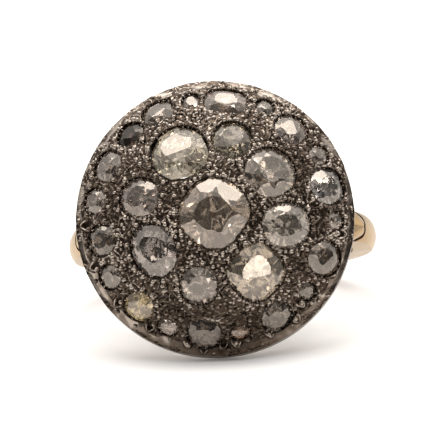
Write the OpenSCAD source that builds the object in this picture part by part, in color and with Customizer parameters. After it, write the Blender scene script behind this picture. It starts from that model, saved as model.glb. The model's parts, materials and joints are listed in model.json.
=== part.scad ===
/* [Hoop] */
// Inside diameter of the hoop, where the finger goes
finger_d = 17.3; // [15:0.1:20]
// Thickness of the hoop at its crown, from the bore outward
hoop_t = 1.6; // [1.3:0.05:2.2]
// Width of the hoop along the finger, at its shoulders
hoop_w = 2; // [1.9:0.1:2.6]
// Width of the hoop along the finger, at its back
back_w = 1.3; // [1.2:0.1:1.7]
// How far the rounded outer face stands above the side walls at the hoop's full width
hoop_bulge = 0.4; // [0.3:0.05:0.6]
// Thickness of the hoop where it passes under the head
rail_t = 0.95; // [0.7:0.05:1.2]

/* [Shoulders] */
// Radius of each of the two rounded lobes that make a shoulder
lobe_r = 0.6; // [0.5:0.01:0.66]
// Height of a lobe's centre line above the bore
lobe_rise = 1.05; // [0.9:0.05:1.1]
// Distance between the two lobes' centre lines at their tips
lobe_pitch = 0.3; // [0.2:0.02:0.4]
// Angle from the head's axis round the hoop to the lobes' tips
lobe_tip_angle = 67; // [62:1:76]
// Angle by which each lobe leans outward on its way to the head
lobe_splay = 18; // [12:1:22]
// Width of the groove cut into the hoop round the lobes' tips
groove_w = 0.12; // [0.08:0.02:0.2]
// Depth of that groove below the hoop's crown
groove_depth = 0.55; // [0.3:0.05:0.8]

/* [Gallery] */
// Outside diameter of the gallery at the top, inside the head's edge
gallery_d = 16.2; // [15.4:0.1:16.6]
// Outside diameter of the gallery at its foot, on the hoop
gallery_foot_d = 13.8; // [12.5:0.1:15]
// Wall thickness of the gallery
gallery_t = 0.9; // [0.7:0.05:1.2]
// Height of the gallery's foot above the finger's axis
gallery_foot_z = 4.6; // [3.5:0.1:6]

/* [Head] */
// Diameter of the head over its edge band
head_d = 18; // [17:0.1:20]
// Height of the head's base above the bore
head_lift = 0.75; // [0.6:0.05:1.5]
// Height of the smooth upright edge band
band_h = 0.9; // [0.6:0.05:1.5]
// Height of the sloping lip above the band
lip_h = 0.15; // [0.1:0.05:0.4]
// Width of the sloping lip between the band and the dome
lip_w = 0.3; // [0.2:0.05:0.5]
// Rise of the dome above the lip
dome_rise = 3.4; // [2.6:0.1:4.2]
// Thickness of the dome's shell
shell_t = 1.3; // [1:0.05:1.6]
// Depth of the rebate in the head's underside that takes the gallery
rebate_depth = 0.5; // [0.3:0.05:0.7]
// Gap of the joint between the head and the gallery
joint_gap = 0.04; // [0.02:0.01:0.08]

/* [Stones] */
// Width of a stone's table as a share of the stone
table_share = 0.5; // [0.4:0.01:0.6]
// Height of a stone's crown as a share of its size
crown_share = 0.17; // [0.1:0.01:0.22]
// Depth of a stone's pavilion as a share of its size
pavilion_share = 0.41; // [0.3:0.01:0.45]
// Thickness of a stone's girdle as a share of its size
girdle_share = 0.03; // [0.02:0.01:0.05]
// Width of a stone's culet as a share of the stone
culet_share = 0.12; // [0.06:0.01:0.2]
// Depth of a stone's girdle below the dome's surface at the stone's edge
seat_sink = 0.08; // [0.02:0.01:0.15]
// Gap between a stone and the wall of its seat
seat_gap = 0.05; // [0.03:0.01:0.08]
// Width of the open back of a seat as a share of the stone
back_share = 0.72; // [0.65:0.01:0.8]

/* [Grains] */
// Radius of the raised grains that hold the stones
grain_r = 0.15; // [0.12:0.01:0.22]
// Height of a grain's centre above the dome
grain_lift = 0.04; // [0:0.01:0.08]
// Distance between neighbouring grains round a stone
grain_pitch = 0.72; // [0.6:0.02:1.2]
// Least metal between a grain and the nearest seat
grain_web = 0.04; // [0.03:0.01:0.1]

/* [Hidden] */
$fn = 96;
eps = 0.01;
grain_sides = 20;

// Stone table, by column. Turn is the angle on the head from the right-hand side, counter-clockwise, and
// reach the distance from the head's centre as a share of its radius. Out and round are the stone's sizes
// toward the edge and round the head, as shares of the head's diameter. Spin turns the outline in its
// seat, and square is the outline's power: 2 is round, and more is a cushion.
NAME = 0;
TURN = 1;
REACH = 2;
OUT = 3;
ROUND = 4;
SPIN = 5;
SQUARE = 6;
STONES = [
    ["stone_centre",    299, 0.025, 0.238, 0.245,  24, 2.6],
    ["stone_inner_1",   117, 0.491, 0.216, 0.210,   0, 2.1],
    ["stone_inner_2",    73, 0.539, 0.148, 0.143,  20, 2.2],
    ["stone_inner_3",    32, 0.498, 0.184, 0.187,   0, 2.2],
    ["stone_inner_4",   347, 0.537, 0.178, 0.162,  15, 2.3],
    ["stone_inner_5",   303, 0.539, 0.190, 0.193,   8, 2.9],
    ["stone_inner_6",   257, 0.538, 0.140, 0.138,   0, 2.1],
    ["stone_inner_7",   211, 0.508, 0.163, 0.197,  -8, 2.2],
    ["stone_inner_8",   166, 0.540, 0.152, 0.144,   0, 2.2],
    ["stone_outer_1",    82, 0.838, 0.118, 0.158,   0, 2.6],
    ["stone_outer_2",    63, 0.872, 0.070, 0.068,   0, 2.1],
    ["stone_outer_3",    46, 0.832, 0.122, 0.126,   0, 2.2],
    ["stone_outer_4",    28, 0.868, 0.080, 0.078,   0, 2.0],
    ["stone_outer_5",    12, 0.838, 0.138, 0.136,   0, 2.3],
    ["stone_outer_6",   355, 0.873, 0.060, 0.064,   0, 2.1],
    ["stone_outer_7",   336, 0.852, 0.136, 0.130,   0, 2.0],
    ["stone_outer_8",   318, 0.864, 0.068, 0.066,   0, 2.1],
    ["stone_outer_9",   299, 0.860, 0.106, 0.114,   0, 2.3],
    ["stone_outer_10",  280, 0.862, 0.054, 0.072,   0, 2.2],
    ["stone_outer_11",  263, 0.858, 0.112, 0.126,   0, 2.4],
    ["stone_outer_12",  245, 0.868, 0.062, 0.074,   0, 2.2],
    ["stone_outer_13",  228, 0.848, 0.110, 0.112,  20, 2.5],
    ["stone_outer_14",  208, 0.866, 0.092, 0.090,   0, 2.2],
    ["stone_outer_15",  190, 0.826, 0.120, 0.116,   0, 2.0],
    ["stone_outer_16",  170, 0.868, 0.090, 0.094,   0, 2.2],
    ["stone_outer_17",  152, 0.852, 0.108, 0.122,   0, 2.2],
    ["stone_outer_18",  133, 0.846, 0.100, 0.102,  30, 2.4],
    ["stone_outer_19",  116, 0.858, 0.106, 0.120,   0, 2.4],
    ["stone_outer_20",   99, 0.852, 0.074, 0.066,   0, 2.1],
];

bore_r = finger_d / 2;
hoop_r = bore_r + hoop_t;
hoop_crown_r = (pow(hoop_w / 2, 2) + pow(hoop_bulge, 2)) / (2 * hoop_bulge);
back_side_r = hoop_r - hoop_crown_r + sqrt(pow(hoop_crown_r, 2) - pow(back_w / 2, 2));
lobe_path_r = bore_r + lobe_rise;
taper_z = hoop_r * cos(lobe_tip_angle);
gallery_r = gallery_d / 2;
lobe_root_angle = asin((gallery_foot_d / 2 - gallery_t / 2) / lobe_path_r);

head_r = head_d / 2;
head_z = bore_r + head_lift;
lip_z = head_z + band_h + lip_h;
apex_z = lip_z + dome_rise;
pave_r = head_r - lip_w;
dome_r = (pow(pave_r, 2) + pow(dome_rise, 2)) / (2 * dome_rise);
dome_z = apex_z - dome_r;

// The ring lies on the floor on two points: the head's edge and the side of the hoop's back.
rest_tilt = atan2(head_r - back_w / 2, head_z + back_side_r);
rest_lift = head_r * cos(rest_tilt) - head_z * sin(rest_tilt);
reach_back = hoop_crown_r * sin(rest_tilt) < back_w / 2
    ? (hoop_r - hoop_crown_r) * cos(rest_tilt) + hoop_crown_r
    : back_side_r * cos(rest_tilt) + back_w / 2 * sin(rest_tilt);
reach_front = dome_z * cos(rest_tilt) + dome_r + grain_r;

// Stone geometry: the facets run in eighths, and the girdle has two sides to each. The seat's ledge lies
// below the pavilion by a small share of the stone.
facet_count = 8;
mid_angle = 180 / facet_count;
mid_crown_share = 0.76;
mid_pavilion_share = 0.36;
ledge_share = 0.04;

function size_out(stone) = stone[OUT] * head_d;
function size_round(stone) = stone[ROUND] * head_d;
function mean_size(stone) = (size_out(stone) + size_round(stone)) / 2;
function half_span(stone) = max(size_out(stone), size_round(stone)) / 2;
function lean(stone) = asin(stone[REACH] * head_r / dome_r);
function sagitta(stone) = dome_r - sqrt(pow(dome_r, 2) - pow(half_span(stone), 2));
function girdle_drop(stone) = sagitta(stone) + seat_sink;
function ledge_drop(stone) =
    girdle_drop(stone) + (girdle_share + pavilion_share * (1 - back_share) + ledge_share) * mean_size(stone);

// Outline of a stone: its half size at an angle, for an outline of the given power.
function outline_unit(a, power) =
    1 / pow(pow(abs(cos(a)), power) + pow(abs(sin(a)), power), 1 / power);
function outline_point(stone, a, share, grow = 0) =
    let (u = outline_unit(a, stone[SQUARE]))
    [(size_out(stone) / 2 * share + grow) * u * cos(a), (size_round(stone) / 2 * share + grow) * u * sin(a)];

// Heights that keep each kite of the crown and each main facet of the pavilion flat on a round stone.
function crown_mid_height(crown) =
    crown * (1 - mid_crown_share * cos(mid_angle)) / (1 - table_share);
function pavilion_mid_depth(pavilion) =
    pavilion * (1 - mid_pavilion_share * cos(mid_angle)) / (1 - culet_share * cos(mid_angle));

function ring_points(stone, count, start, share, z) =
    [for (k = [0:count - 1]) concat(outline_point(stone, start + k * 360 / count, share), z)];

// Unit vectors of a stone's place on the dome: outward, toward the edge and round the head.
function normal_at(stone) =
    [sin(lean(stone)) * cos(stone[TURN]), sin(lean(stone)) * sin(stone[TURN]), cos(lean(stone))];
function slope_at(stone) =
    [cos(lean(stone)) * cos(stone[TURN]), cos(lean(stone)) * sin(stone[TURN]), -sin(lean(stone))];
function round_at(stone) = [-sin(stone[TURN]), cos(stone[TURN]), 0];

// A point beside a stone, from its plane coordinates, as a direction from the dome's centre.
function on_dome(stone, p) =
    let (
        x = p[0] * cos(stone[SPIN]) - p[1] * sin(stone[SPIN]),
        y = p[0] * sin(stone[SPIN]) + p[1] * cos(stone[SPIN]),
        z = sqrt(pow(dome_r, 2) - x * x - y * y)
    )
    (z * normal_at(stone) + x * slope_at(stone) + y * round_at(stone)) / dome_r;

// True where a direction lies outside a stone's outline grown by a margin.
function clear_of(stone, direction, margin) =
    let (
        p = direction * dome_r,
        px = p * slope_at(stone),
        py = p * round_at(stone),
        x = px * cos(stone[SPIN]) + py * sin(stone[SPIN]),
        y = py * cos(stone[SPIN]) - px * sin(stone[SPIN]),
        a = size_out(stone) / 2 + margin,
        b = size_round(stone) / 2 + margin
    )
    pow(abs(x / a), stone[SQUARE]) + pow(abs(y / b), stone[SQUARE]) > 1;

function clear_of_all(direction, margin) =
    len([for (stone = STONES) if (!clear_of(stone, direction, margin)) 1]) == 0;

// Grains stand round each stone, where they are clear of every seat, of the lip and of each other.
grain_margin = seat_gap + grain_web + grain_r;
grain_reach = pave_r - grain_r;
grain_places = [
    for (stone = STONES)
        let (count = round(PI * (mean_size(stone) + 2 * grain_margin) / grain_pitch))
        for (k = [0:count - 1])
            let (place = on_dome(stone, outline_point(stone, (k + 0.5) * 360 / count, 1, grain_margin + eps)))
            if (clear_of_all(place, grain_margin) && norm([place[0], place[1]]) * dome_r < grain_reach)
                place
];
grains = [
    for (i = [0:len(grain_places) - 1])
        if (len([for (j = [0:1:i - 1])
            if (norm(grain_places[i] - grain_places[j]) * dome_r < 2 * grain_r + grain_web) 1]) == 0)
            grain_places[i]
];

module at_rest() {
    translate([0, (reach_front - reach_back) / 2, rest_lift])
        rotate([90 - rest_tilt, 0, 0])
            children();
}

module on_head(stone) {
    translate([0, 0, dome_z])
        rotate([0, 0, stone[TURN]])
            rotate([0, lean(stone), 0])
                translate([0, 0, dome_r])
                    rotate([0, 0, stone[SPIN]])
                        children();
}

module along_finger() {
    rotate([90, 0, 0])
        children();
}

module finger_bore() {
    along_finger()
        cylinder(h = 2 * head_d, r = bore_r, center = true);
}

// Cross-section of the hoop: straight sides and a rounded crown.
module hoop_section() {
    intersection() {
        translate([bore_r - eps, -hoop_w / 2])
            square([hoop_t + 2 * eps, hoop_w]);
        translate([hoop_r - hoop_crown_r, 0])
            circle(r = hoop_crown_r);
    }
    translate([bore_r - eps, -hoop_w / 2])
        square([hoop_t - hoop_bulge + eps, hoop_w]);
}

// The hoop's outline seen from its side: full width from the head to the lobes' tips, narrowing to the back.
module hoop_taper() {
    rotate([90, 0, 90])
        linear_extrude(2 * head_d, center = true)
            polygon([
                [-hoop_w / 2, bore_r + rail_t],
                [-hoop_w / 2, taper_z],
                [-back_w / 2, -back_side_r],
                [-back_w / 2, -hoop_r - eps],
                [back_w / 2, -hoop_r - eps],
                [back_w / 2, -back_side_r],
                [hoop_w / 2, taper_z],
                [hoop_w / 2, bore_r + rail_t]
            ]);
}

module hoop() {
    intersection() {
        along_finger()
            rotate_extrude()
                hoop_section();
        hoop_taper();
    }
}

// One lobe of a shoulder: a bent round bar with a ball at its tip, leaning outward toward the head.
module lobe(side, r) {
    rotate([0, lobe_tip_angle, 0])
        translate([0, side * lobe_pitch / 2, 0])
            rotate([0, 0, -side * lobe_splay]) {
                along_finger()
                    rotate_extrude(angle = lobe_tip_angle - lobe_root_angle, start = 90)
                        translate([lobe_path_r, 0])
                            circle(r = r, $fn = 48);
                translate([0, 0, lobe_path_r])
                    sphere(r = r, $fn = 48);
            }
}

module shoulder_lobes(grow = 0) {
    for (end = [0, 1])
        mirror([end, 0, 0])
            for (side = [-1, 1])
                lobe(side, lobe_r + grow);
}

module tip_grooves() {
    difference() {
        shoulder_lobes(groove_w);
        along_finger()
            cylinder(h = 2 * head_d, r = hoop_r - groove_depth, center = true);
    }
}

module gallery() {
    foot_r = gallery_foot_d / 2;
    seat_z = head_z + rebate_depth - joint_gap;
    rotate_extrude()
        polygon([
            [foot_r - gallery_t, gallery_foot_z],
            [foot_r, gallery_foot_z],
            [gallery_r, head_z],
            [gallery_r, seat_z],
            [gallery_r - gallery_t, seat_z],
            [gallery_r - gallery_t, head_z]
        ]);
}

module gold_shank() {
    color("goldenrod")
        difference() {
            union() {
                difference() {
                    hoop();
                    tip_grooves();
                }
                shoulder_lobes();
                gallery();
            }
            finger_bore();
        }
}

module head_section() {
    difference() {
        union() {
            polygon([[0, head_z], [head_r, head_z], [head_r, head_z + band_h], [pave_r, lip_z], [0, lip_z]]);
            intersection() {
                translate([0, dome_z])
                    circle(r = dome_r);
                translate([0, head_z])
                    square([pave_r, apex_z]);
            }
        }
        intersection() {
            translate([0, dome_z])
                circle(r = dome_r - shell_t);
            translate([0, head_z - band_h])
                square([pave_r, apex_z]);
        }
        translate([0, head_z - eps])
            square([gallery_r + joint_gap, rebate_depth + eps]);
        translate([-head_d, 0])
            square([head_d, 2 * apex_z]);
    }
}

module seat(stone) {
    sides = 2 * facet_count;
    opening = [for (k = [0:sides - 1]) outline_point(stone, k * 360 / sides, 1, seat_gap)];
    back = [for (k = [0:sides - 1]) outline_point(stone, k * 360 / sides, back_share)];
    translate([0, 0, -ledge_drop(stone)])
        linear_extrude(ledge_drop(stone) + mean_size(stone) / 2)
            polygon(opening);
    translate([0, 0, -2 * shell_t])
        linear_extrude(2 * shell_t)
            polygon(back);
}

module grain_field() {
    for (place = grains)
        translate([0, 0, dome_z] + place * (dome_r + grain_lift))
            sphere(r = grain_r, $fn = grain_sides);
}

module silver_head() {
    color("dimgray")
        union() {
            difference() {
                rotate_extrude()
                    head_section();
                for (stone = STONES)
                    on_head(stone)
                        seat(stone);
            }
            grain_field();
        }
}

// A faceted stone with its girdle's top at z = 0: table, stars, kites, upper halves, girdle, lower halves,
// mains and culet.
module cut_stone(stone) {
    size = mean_size(stone);
    crown = crown_share * size;
    girdle = girdle_share * size;
    pavilion = pavilion_share * size;
    n = facet_count;
    sides = 2 * n;
    table = 0;
    mid_crown = n;
    top = 2 * n;
    base = top + sides;
    mid_pavilion = base + sides;
    culet = mid_pavilion + n;
    points = concat(
        ring_points(stone, n, 0, table_share, crown),
        ring_points(stone, n, mid_angle, mid_crown_share, crown_mid_height(crown)),
        ring_points(stone, sides, 0, 1, 0),
        ring_points(stone, sides, 0, 1, -girdle),
        ring_points(stone, n, mid_angle, mid_pavilion_share, -girdle - pavilion_mid_depth(pavilion)),
        ring_points(stone, n, mid_angle, culet_share, -girdle - pavilion)
    );
    table_face = [[for (k = [n - 1:-1:0]) table + k]];
    culet_face = [[for (k = [0:n - 1]) culet + k]];
    crown_faces = [
        for (k = [0:n - 1])
            let (next = (k + 1) % n, last = (k + n - 1) % n, odd = 2 * k + 1, even = (2 * k + 2) % sides)
            for (face = [
                [table + next, mid_crown + k, table + k],
                [table + k, mid_crown + k, top + 2 * k, mid_crown + last],
                [mid_crown + k, top + odd, top + 2 * k],
                [mid_crown + k, top + even, top + odd]
            ])
                face
    ];
    girdle_faces = [
        for (k = [0:sides - 1])
            let (next = (k + 1) % sides)
            [top + k, top + next, base + next, base + k]
    ];
    pavilion_faces = [
        for (k = [0:n - 1])
            let (last = (k + n - 1) % n, odd = 2 * k + 1, even = (2 * k + 2) % sides)
            for (face = [
                [base + 2 * k, mid_pavilion + k, culet + k, culet + last, mid_pavilion + last],
                [mid_pavilion + k, base + 2 * k, base + odd],
                [mid_pavilion + k, base + odd, base + even]
            ])
                face
    ];
    polyhedron(points, concat(table_face, crown_faces, girdle_faces, pavilion_faces, culet_face));
}

module set_stone(stone) {
    color("lightsteelblue")
        at_rest()
            on_head(stone)
                translate([0, 0, -girdle_drop(stone)])
                    cut_stone(stone);
}

at_rest() silver_head();
at_rest() gold_shank();
for (stone = STONES) set_stone(stone);
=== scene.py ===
"""Cluster ring: the looks of a domed head of darkened silver set with old-cut diamonds on a gold hoop."""

import json
import math
from collections import namedtuple

import bmesh
import bpy
import numpy as np
from mathutils import Matrix, Vector
from mathutils.kdtree import KDTree


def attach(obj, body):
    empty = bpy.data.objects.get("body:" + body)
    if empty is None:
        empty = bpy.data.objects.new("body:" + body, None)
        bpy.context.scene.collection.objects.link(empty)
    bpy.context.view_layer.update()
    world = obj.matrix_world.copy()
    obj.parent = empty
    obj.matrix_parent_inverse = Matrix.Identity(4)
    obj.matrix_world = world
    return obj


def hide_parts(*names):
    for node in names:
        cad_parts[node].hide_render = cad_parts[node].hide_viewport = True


MM = 0.001
FULL_TURN = 2 * math.pi

# The head's sizes, in mm, measured from the finger's axis along the head's own axis.
HEAD_R = 9.0
LIP_W = 0.3
HEAD_Z = 9.4
LIP_Z = 10.45
DOME_RISE = 3.4
PAVE_R = HEAD_R - LIP_W
DOME_R = (PAVE_R**2 + DOME_RISE**2) / (2 * DOME_RISE)
DOME_Z = LIP_Z + DOME_RISE - DOME_R

# The photograph's view, with its distance and width in mm.
VIEW_AZIMUTH = 2.6
VIEW_ELEVATION = 14.1
VIEW_ROLL = -3.4
VIEW_DISTANCE = 300.0
VIEW_WIDTH = 27.9
VIEW_TARGET_Z = HEAD_Z + 1.0
VIEW_SENSOR = 36
FRAME_PX = 432
HEAD_CENTRE_PX = (214.9, 218.1)

# Each light: azimuth, elevation, distance and size in mm, radiance and shape.
LIGHTS = {
    "top_softbox": (180, 84, 250, (340, 110), 3.3, "RECTANGLE"),
    "left_softbox": (-42, 38, 260, (40, 40), 9.0, "DISK"),
    "right_softbox": (40, 52, 260, (44, 44), 7.0, "RECTANGLE"),
    "high_lamp": (-12, 62, 260, (20, 20), 20.0, "DISK"),
    "left_lamp": (-75, 30, 260, (20, 20), 20.0, "DISK"),
    "right_lamp": (78, 25, 260, (20, 20), 16.0, "DISK"),
    "low_lamp": (23, 2, 260, (40, 24), 5.0, "RECTANGLE"),
}
LIGHT_COLOUR = (1, 0.955, 0.91)
LIGHTS_AIM_Z = 8

# The white tent's brightness from front to back, and what is added from below to above.
TENT_FRONT_TO_BACK = [(0.0, 0.06), (0.25, 0.12), (0.48, 0.45), (0.6, 0.85), (1.0, 0.95)]
TENT_ABOVE = [(0.0, 0.0), (0.5, 0.05), (0.95, 1.0)]

# Colours over patches of stain, from the darkest patches to the palest.
GOLD_TONES = [(0.3, (0.33, 0.21, 0.095)), (0.55, (0.43, 0.30, 0.155)), (0.8, (0.54, 0.41, 0.245))]
BAND_TONES = [(0.3, (0.12, 0.102, 0.087)), (0.55, (0.18, 0.157, 0.137)), (0.8, (0.26, 0.233, 0.21))]
CARVED_TONES = [(0.08, (0.003, 0.0022, 0.0016)), (0.40, (0.056, 0.040, 0.029)), (0.75, (0.12, 0.093, 0.072)),
                (0.93, (0.20, 0.163, 0.133)), (1.0, (0.37, 0.315, 0.265))]
CULET_TONES = [(0.3, (0.60, 0.57, 0.52)), (0.7, (0.8, 0.77, 0.72))]
PALE_FEATHER_TONES = [(0.3, (0.6, 0.57, 0.53)), (0.7, (0.85, 0.83, 0.8))]
DARK_FEATHER_TONES = [(0.3, (0.06, 0.04, 0.03)), (0.7, (0.22, 0.15, 0.1))]
FLOOR_TONES = [(0.3, (0.90, 0.89, 0.88)), (0.7, (0.92, 0.91, 0.90))]

# The floor's half width and the nearest and farthest that the camera sees, in metres.
FLOOR_HALF_W = 4.0
VIEW_RANGE = (0.01, 20)

# Body colours of the stones that differ from the plain one, and how cloudy each is.
PLAIN_STONE = ((0.20, 0.15, 0.115), 0.04)
STONE_LOOKS = {
    "stone_centre": ((0.29, 0.215, 0.155), 0.07),
    "stone_inner_1": ((0.52, 0.43, 0.305), 0.06),
    "stone_inner_2": ((0.20, 0.16, 0.11), 0.04),
    "stone_inner_3": ((0.25, 0.195, 0.15), 0.07),
    "stone_inner_4": ((0.36, 0.30, 0.24), 0.09),
    "stone_inner_5": ((0.36, 0.275, 0.19), 0.02),
    "stone_inner_6": ((0.19, 0.15, 0.12), 0.03),
    "stone_inner_7": ((0.21, 0.17, 0.145), 0.02),
    "stone_inner_8": ((0.17, 0.125, 0.10), 0.03),
    "stone_outer_1": ((0.36, 0.28, 0.235), 0.12),
    "stone_outer_2": ((0.14, 0.11, 0.085), 0.03),
    "stone_outer_3": ((0.27, 0.21, 0.17), 0.08),
    "stone_outer_5": ((0.22, 0.19, 0.17), 0.03),
    "stone_outer_6": ((0.38, 0.30, 0.24), 0.05),
    "stone_outer_7": ((0.15, 0.11, 0.08), 0.02),
    # outer_8, outer_9 and outer_11 at the bottom are dark partly in their own colour and partly as painted
    # shade.
    "stone_outer_8": ((0.11, 0.085, 0.065), 0.02),
    "stone_outer_9": ((0.14, 0.11, 0.085), 0.02),
    "stone_outer_10": ((0.27, 0.16, 0.10), 0.08),
    "stone_outer_11": ((0.10, 0.075, 0.06), 0.02),
    "stone_outer_12": ((0.31, 0.24, 0.19), 0.04),
    "stone_outer_13": ((0.42, 0.31, 0.165), 0.08),
    "stone_outer_14": ((0.15, 0.115, 0.09), 0.04),
    "stone_outer_15": ((0.15, 0.115, 0.085), 0.03),
    "stone_outer_16": ((0.34, 0.27, 0.22), 0.10),
    "stone_outer_18": ((0.045, 0.028, 0.02), 0.01),
    "stone_outer_19": ((0.28, 0.215, 0.165), 0.05),
}

# The refractive index of the stones with weaker reflections; the others have a diamond's own.
DIAMOND_IOR = 2.42
STONE_IOR = {"stone_outer_18": 1.65, "stone_outer_11": 2.05, "stone_outer_9": 2.1, "stone_outer_15": 2.1,
             "stone_outer_8": 2.2}

# Stones whose worn culet shows as a pale spot, with its share of the stone's width, and the range of the
# others' culets. Faces within FOOT_MM of the lowest point are the worn culet.
# These culets also glow faintly, as painted light.
PALE_CULETS = {"stone_inner_1": 0.2, "stone_inner_8": 0.18}
CULET_RANGE = (0.06, 0.16)
FOOT_MM = 0.02

# Which of the possible uneven cuttings a stone has, as listed; 0 where none is named.
STONE_CUTS = {
    "stone_centre": 9, "stone_inner_1": 34, "stone_inner_2": 20, "stone_inner_3": 32, "stone_inner_4": 10,
    "stone_inner_6": 24, "stone_inner_7": 7, "stone_inner_8": 25, "stone_outer_1": 24, "stone_outer_2": 14,
    "stone_outer_3": 26, "stone_outer_4": 29, "stone_outer_5": 8, "stone_outer_7": 16, "stone_outer_9": 34,
    "stone_outer_11": 8, "stone_outer_16": 23, "stone_outer_17": 4, "stone_outer_19": 27,
}

# Rows of facets. Rise and start are shares of the crown's height or the pavilion's depth, inner and reach
# are shares of the stone's width where a row ends and begins; a row without an inner share ends at the culet.
# Stones wider than BIG_STONE mm have the extra rows. A stone's wobble is how uneven its facets are.
FacetRow = namedtuple("FacetRow", "count offset rise inner start reach uneven", defaults=(None, 0, 1, 1))
CROWN_ROWS = [
    FacetRow(8, 0, 1, inner=0.50),
    FacetRow(8, 0.5, 0.404, inner=0.462, start=0.596, reach=0.76),
    FacetRow(16, 0.5, 1.174, inner=0.50),
]
PAVILION_ROWS = [FacetRow(8, 0, 1), FacetRow(16, 0.5, 1.12)]
EXTRA_CROWN_ROWS = [FacetRow(11, 0.3, 0.22, inner=0.40, start=0.80, reach=0.66, uneven=1.8)]
EXTRA_PAVILION_ROWS = [
    FacetRow(13, 0.2, 0.42, start=0.60, reach=0.49, uneven=2.2),
    FacetRow(9, 0.1, 0.9, start=0.12, reach=0.93, uneven=1.8),
]
BIG_STONE = 2.2
BIG_STONE_WOBBLE = 0.05
SMALL_STONE_WOBBLE = 0.06
TABLE_SHARE = 0.97
TABLE_TILT = 0.05

# The flecks in a stone: how many at least and for each mm of its width, the share of dark ones, their half
# widths as shares of its width, their half thickness in mm and how uneven they are.
FLECKS_LEAST = 9
FLECKS_PER_MM = 6
DARK_FLECKS = 0.35
FLECK_LEAST = 0.014
FLECK_EXTRA = 0.06
FLECK_NARROW = (0.35, 1)
FLECK_TIP = 0.012
FLECK_JITTER = (-0.3, 0.3)
FLECK_REACH = (0.6, 1.1)

# The carved skin: its grid and reach, the height of the metal's general face above the CAD dome and of its
# dark cuts, the plain rim's height, the edge next to a stone, how far it turns down there and its slack, in
# mm. Points within SNAP_CELLS cells of the edge move onto it, and those within WALL_CELLS turn down.
SKIN_GRID = 600
SKIN_REACH = HEAD_R - 0.03
SKIN_CELL = 2 * SKIN_REACH / SKIN_GRID
SKIN_FACE = 0.07
SKIN_CUT = 0.014
SKIN_RIM = 0.03
SKIN_EDGE = 0.02
SKIN_WALL = -0.3
EDGE_SLACK = 0.004
SNAP_CELLS = 0.6
WALL_CELLS = 0.3

# The dark gap beside a stone, in mm: where it begins, its least width, how much wider it is toward the rim
# and on one other side.
# The gap is sunk into the metal, and its darkness is painted shade.
MOAT_START = 0.03
MOAT_W = 0.02
MOAT_RIM_EXTRA = 0.13
MOAT_SIDE_EXTRA = 0.07

# Where the graver's strokes fall: how many places are tried, and how far apart, how far off the stones and
# how far out they are, in mm.
Places = namedtuple("Places", "tries apart margin reach")
BROAD_CUTS = Places(1400, 0.28, 0.18, PAVE_R - 0.1)
THIN_CUTS = Places(900, 0.34, 0.12, PAVE_R - 0.1)
FINE_GRAINS = Places(30000, 0.235, 0.08, HEAD_R - 0.08)
LOOSE_GRAINS = Places(2500, 0.42, 0.16, HEAD_R - 0.25)

# Ranges of half lengths, half widths and, for raised strokes, heights above the metal's face, in mm. The main
# grains stand over the solid's own ones.
BROAD_CUT_SIZES = ((0.2, 0.5), (0.05, 0.09))
THIN_CUT_SIZES = ((0.15, 0.4), (0.03, 0.055))
THIN_CUT_LIFT = 0.01
BURR_SIZES = ((0.14, 0.42), (0.05, 0.10), (0.0, 0.12))
GRAIN_RADII = (0.07, 0.15)
GRAIN_STRETCH = [1.0, 1.3, 1.8]
GRAIN_HEIGHTS = (0.0, 0.08)
CLAW_SIZES = ((0.10, 0.18), (0.045, 0.07), (0.02, 0.09))
MAIN_GRAIN = (0.19, 0.17, 0.185)
MAIN_GRAIN_EXTRA = (0, 0.03)

# The grains along a stone's edge: their spacing in mm, the share left out, their jitter in steps, and their
# distance from the outline in mm.
CLAW_PLACES = (0.40, 0.3, 0.3, (0.08, 0.16))
EDGE_BEAD_PLACES = (0.36, 0.35, 0.35, (0.03, 0.09))

# The share of burrs among the fine strokes, and how much it changes from patch to patch.
BURR_SHARE = 0.45
BURR_DRIFT = 0.35

# Smooth noises over the dome: waves to a mm and seed, after a height in mm for the metal's own waves.
SKIN_WAVES = [(0.018, 0.8, 3), (0.012, 2.4, 4)]
PATCH_NOISE = (0.55, 21)
GAP_NOISE = (0.5, 7)
WEAR_NOISE = (0.4, 31)
BORDER_NOISE = (0.45, 11)
RIM_NOISE = (1.1, 12)

# The carved field's tone unworn and what full wear adds. Metal worn more than WORN counts as a crest.
BARE_TONE = 0.26
WEAR_TONE = 0.74
WEAR_POWER = 1.3
WEAR_DRIFT = 0.28
WORN = 0.05

# Places of the graver's leaf-shaped cuts near the rim: turn on the head in degrees and reach in mm. Each is
# a hollow with two lobes; half lengths, half widths and heights in mm, turns in radians.
LEAF_CUTS = [(271.5, 8.3), (277.5, 8.3), (312, 7.95), (293, 8.35), (256, 8.35), (237.5, 8.25), (219.5, 8.35),
             (200, 8.4), (331.5, 8.35), (349.5, 8.3), (8, 8.35), (181, 8.4), (263, 8.55), (306, 8.45)]
LEAF_HOLLOW = (0.5, 0.42)
LEAF_LOBE = (0.42, 0.15, 0.27)
LEAF_LEAN = 0.42
LEAF_SPREAD = 0.024

# The separate small grains: least and greatest half sizes along, across and up in mm, how lumpy they are,
# their tone, how much brighter it is on top, and how much it changes from grain to grain.
Bead = namedtuple("Bead", "least most lumps tone contrast drift")
EDGE_BEAD = Bead((0.10, 0.06, 0.08), (0.17, 0.10, 0.13), 0.06, 0.45, 0.4, (-0.12, 0.15))
LOOSE_BEAD = Bead((0.12, 0.10, 0.10), (0.20, 0.16, 0.16), 0.07, 0.55, 0.4, (-0.2, 0.2))
RIM_BEAD = Bead((0.10, 0.08, 0.08), (0.18, 0.15, 0.16), 0.07, 0.5, 0.35, (-0.1, 0.3))

# Shares of the loose grains kept on the dome's upper part and elsewhere, and how much paler they are upward,
# as painted light.
LOOSE_KEPT_ABOVE = 0.85
LOOSE_KEPT = 0.28
LOOSE_PAINTED_LIGHT = 0.3

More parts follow.
